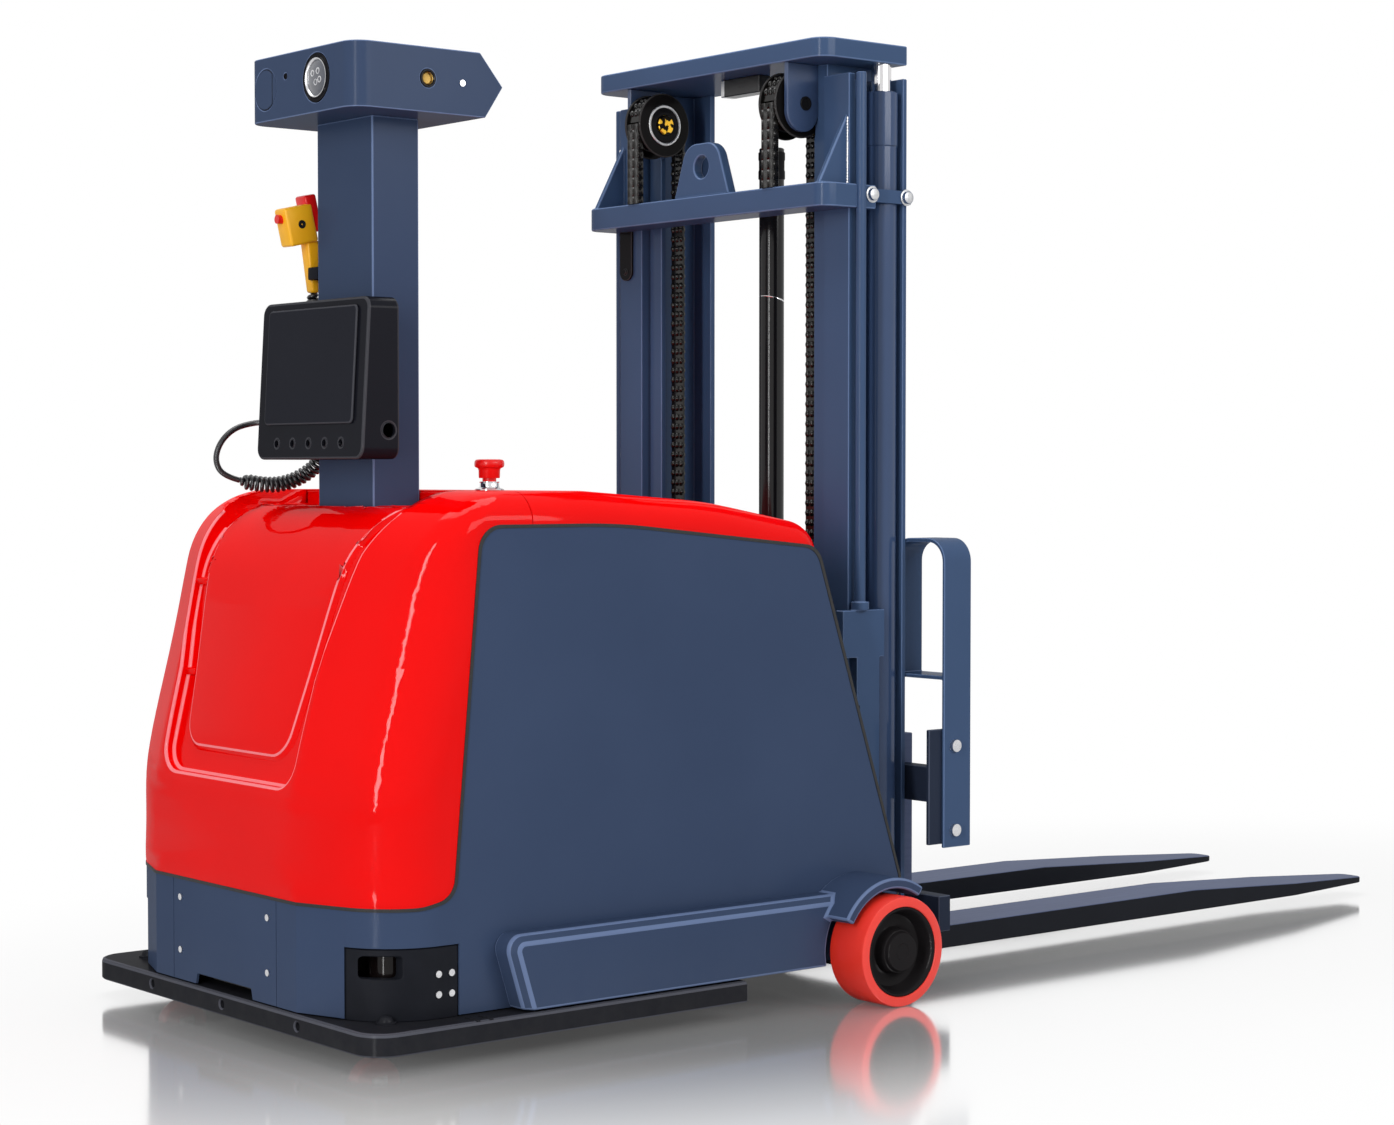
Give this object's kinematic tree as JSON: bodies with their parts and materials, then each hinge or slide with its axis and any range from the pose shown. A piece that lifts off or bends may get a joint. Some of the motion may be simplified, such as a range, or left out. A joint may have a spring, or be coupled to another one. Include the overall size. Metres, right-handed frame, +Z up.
{
  "type": "autonomous mast stacker truck",
  "caption": "Driverless counterbalanced stacker: moulded hood, sensor tower with control box, two-stage mast with chains, lift carriage and tapered forks.",
  "frame": {"origin": "floor level under the middle of the truck's overall length and width", "axes": "+X from the nose towards the fork tips, +Y to the truck's far side (left when looking along the forks), +Z up"},
  "size_m": [3.187, 1.268, 2],
  "materials": {
    "plate_black": "satin",
    "frame_black": "satin",
    "cast_weight": "matte",
    "battery_case": "matte",
    "hood_red": "gloss",
    "panel_grey": "satin",
    "seal_rubber": "matte",
    "black_plastic": "matte",
    "scanner_body": "matte",
    "tower_grey": "satin",
    "lens_glass": "gloss",
    "box_black": "satin",
    "screen_dark": "gloss",
    "brass": "satin",
    "cord_black": "matte",
    "pendant_yellow": "satin",
    "button_red": "gloss",
    "chrome": "polished",
    "mast_grey": "satin",
    "tube_black": "satin",
    "pulley_black": "satin",
    "chain_steel": "satin",
    "steel": "satin",
    "wheel_tyre": "satin",
    "fork_grey": "satin"
  },
  "bodies": {
    "chassis": {"base_plate": "plate_black", "chassis_frame": "frame_black", "counterweight": "cast_weight", "battery": "battery_case", "hydraulic_unit": "frame_black", "caster_mounts": "frame_black", "front_hood": "hood_red", "rear_top_cover": "hood_red", "side_panel_near": "panel_grey", "side_panel_far": "panel_grey", "front_access_panel": "panel_grey", "panel_seal": "seal_rubber", "scanner_housings": "black_plastic", "laser_scanners": "scanner_body", "fender_near": "panel_grey", "fender_far": "panel_grey", "sensor_tower": "tower_grey", "sensor_head": "tower_grey", "head_sensors": "lens_glass", "control_box": "box_black", "control_screen": "screen_dark", "cord_gland": "black_plastic", "cord_lead": "cord_black", "cord_curly": "cord_black", "pendant": "pendant_yellow", "estop_collar": "chrome", "outer_channels": "mast_grey", "mast_tie": "mast_grey", "lifting_lug": "mast_grey", "mast_stays": "mast_grey", "lift_cylinders": "mast_grey", "cylinder_clamps": "mast_grey", "load_axle": "steel", "panel_screws": "steel", "chain_front": "chain_steel", "mast_latch": "tube_black"},
    "drive_unit": {"drive_unit": "frame_black"},
    "drive_wheel": {"drive_wheel": "wheel_tyre"},
    "caster_fork_near": {"caster_fork_near": "steel"},
    "caster_fork_far": {"caster_fork_far": "steel"},
    "caster_wheel_near": {"caster_wheel_near": "wheel_tyre"},
    "caster_wheel_far": {"caster_wheel_far": "wheel_tyre"},
    "inner_mast": {"inner_channels": "mast_grey", "mast_top_plate": "mast_grey", "lift_rods": "chrome", "top_plate_fittings": "mast_grey", "chain_wraps": "chain_steel", "chain_rear": "chain_steel"},
    "lift_pulleys": {"lift_pulleys": "pulley_black"},
    "carriage": {"carriage_frame": "mast_grey", "load_backrest": "mast_grey", "fork_near": "fork_grey", "fork_far": "fork_grey", "carriage_bolts": "steel"},
    "carriage_rollers_lower": {"carriage_rollers_lower": "steel"},
    "carriage_rollers_upper": {"carriage_rollers_upper": "steel"},
    "load_wheel_near": {"load_wheel_near": "wheel_tyre"},
    "load_wheel_far": {"load_wheel_far": "wheel_tyre"},
    "estop_button": {"estop_button": "button_red"},
    "pendant_button": {"pendant_button": "button_red"}
  },
  "joints": [
    {"name": "steering", "type": "hinge", "parent": "chassis", "child": "drive_unit", "pos_m": [-1.1735, 0, 0.2], "axis": [0, 0, 1], "range_deg": [-90, 90]},
    {"name": "drive_wheel_spin", "type": "hinge", "parent": "drive_unit", "child": "drive_wheel", "pos_m": [-1.1735, 0, 0.115], "axis": [0, 1, 0], "continuous": true},
    {"name": "mast_lift", "type": "slide", "parent": "chassis", "child": "inner_mast", "axis": [0, 0, 1], "range_m": [0, 1.1], "deforming": ["chain_front"]},
    {"name": "carriage_lift", "type": "slide", "parent": "inner_mast", "child": "carriage", "axis": [0, 0, 1], "range_m": [0, 1.1], "deforming": ["chain_rear"]},
    {"name": "pulley_spin", "type": "hinge", "parent": "inner_mast", "child": "lift_pulleys", "pos_m": [-0.3275, 0, 1.875], "axis": [0, -1, 0], "range_deg": [0, 1018.5]},
    {"name": "lower_roller_spin", "type": "hinge", "parent": "carriage", "child": "carriage_rollers_lower", "pos_m": [-0.222, 0, 0.2], "axis": [0, -1, 0], "range_deg": [0, 1171.3]},
    {"name": "upper_roller_spin", "type": "hinge", "parent": "carriage", "child": "carriage_rollers_upper", "pos_m": [-0.222, 0, 0.56], "axis": [0, 1, 0], "range_deg": [0, 1171.3]},
    {"name": "estop_press", "type": "slide", "parent": "chassis", "child": "estop_button", "axis": [0, 0, -1], "range_m": [0, 0.006], "stiffness_N_per_m": 1500, "springref_m": -0.004},
    {"name": "pendant_button_press", "type": "slide", "parent": "chassis", "child": "pendant_button", "axis": [1, 0, 0], "range_m": [0, 0.004], "stiffness_N_per_m": 800, "springref_m": -0.003},
    {"name": "caster_swivel_near", "type": "hinge", "parent": "chassis", "child": "caster_fork_near", "pos_m": [-1.4535, -0.365, 0.14], "axis": [0, 0, 1], "continuous": true},
    {"name": "caster_spin_near", "type": "hinge", "parent": "caster_fork_near", "child": "caster_wheel_near", "pos_m": [-1.4785, -0.365, 0.05], "axis": [0, 1, 0], "continuous": true},
    {"name": "load_wheel_spin_near", "type": "hinge", "parent": "chassis", "child": "load_wheel_near", "pos_m": [-0.3755, -0.584, 0.113], "axis": [0, 1, 0], "continuous": true},
    {"name": "caster_swivel_far", "type": "hinge", "parent": "chassis", "child": "caster_fork_far", "pos_m": [-1.4535, 0.365, 0.14], "axis": [0, 0, 1], "continuous": true},
    {"name": "caster_spin_far", "type": "hinge", "parent": "caster_fork_far", "child": "caster_wheel_far", "pos_m": [-1.4785, 0.365, 0.05], "axis": [0, 1, 0], "continuous": true},
    {"name": "load_wheel_spin_far", "type": "hinge", "parent": "chassis", "child": "load_wheel_far", "pos_m": [-0.3755, 0.584, 0.113], "axis": [0, 1, 0], "continuous": true}
  ],
  "couplings": [
    {"joint": "carriage_lift", "follows": "mast_lift", "ratio": 1},
    {"joint": "pulley_spin", "follows": "mast_lift", "rad_per_m": 16.129},
    {"joint": "lower_roller_spin", "follows": "mast_lift", "rad_per_m": 18.553},
    {"joint": "upper_roller_spin", "follows": "mast_lift", "rad_per_m": 18.553}
  ]
}
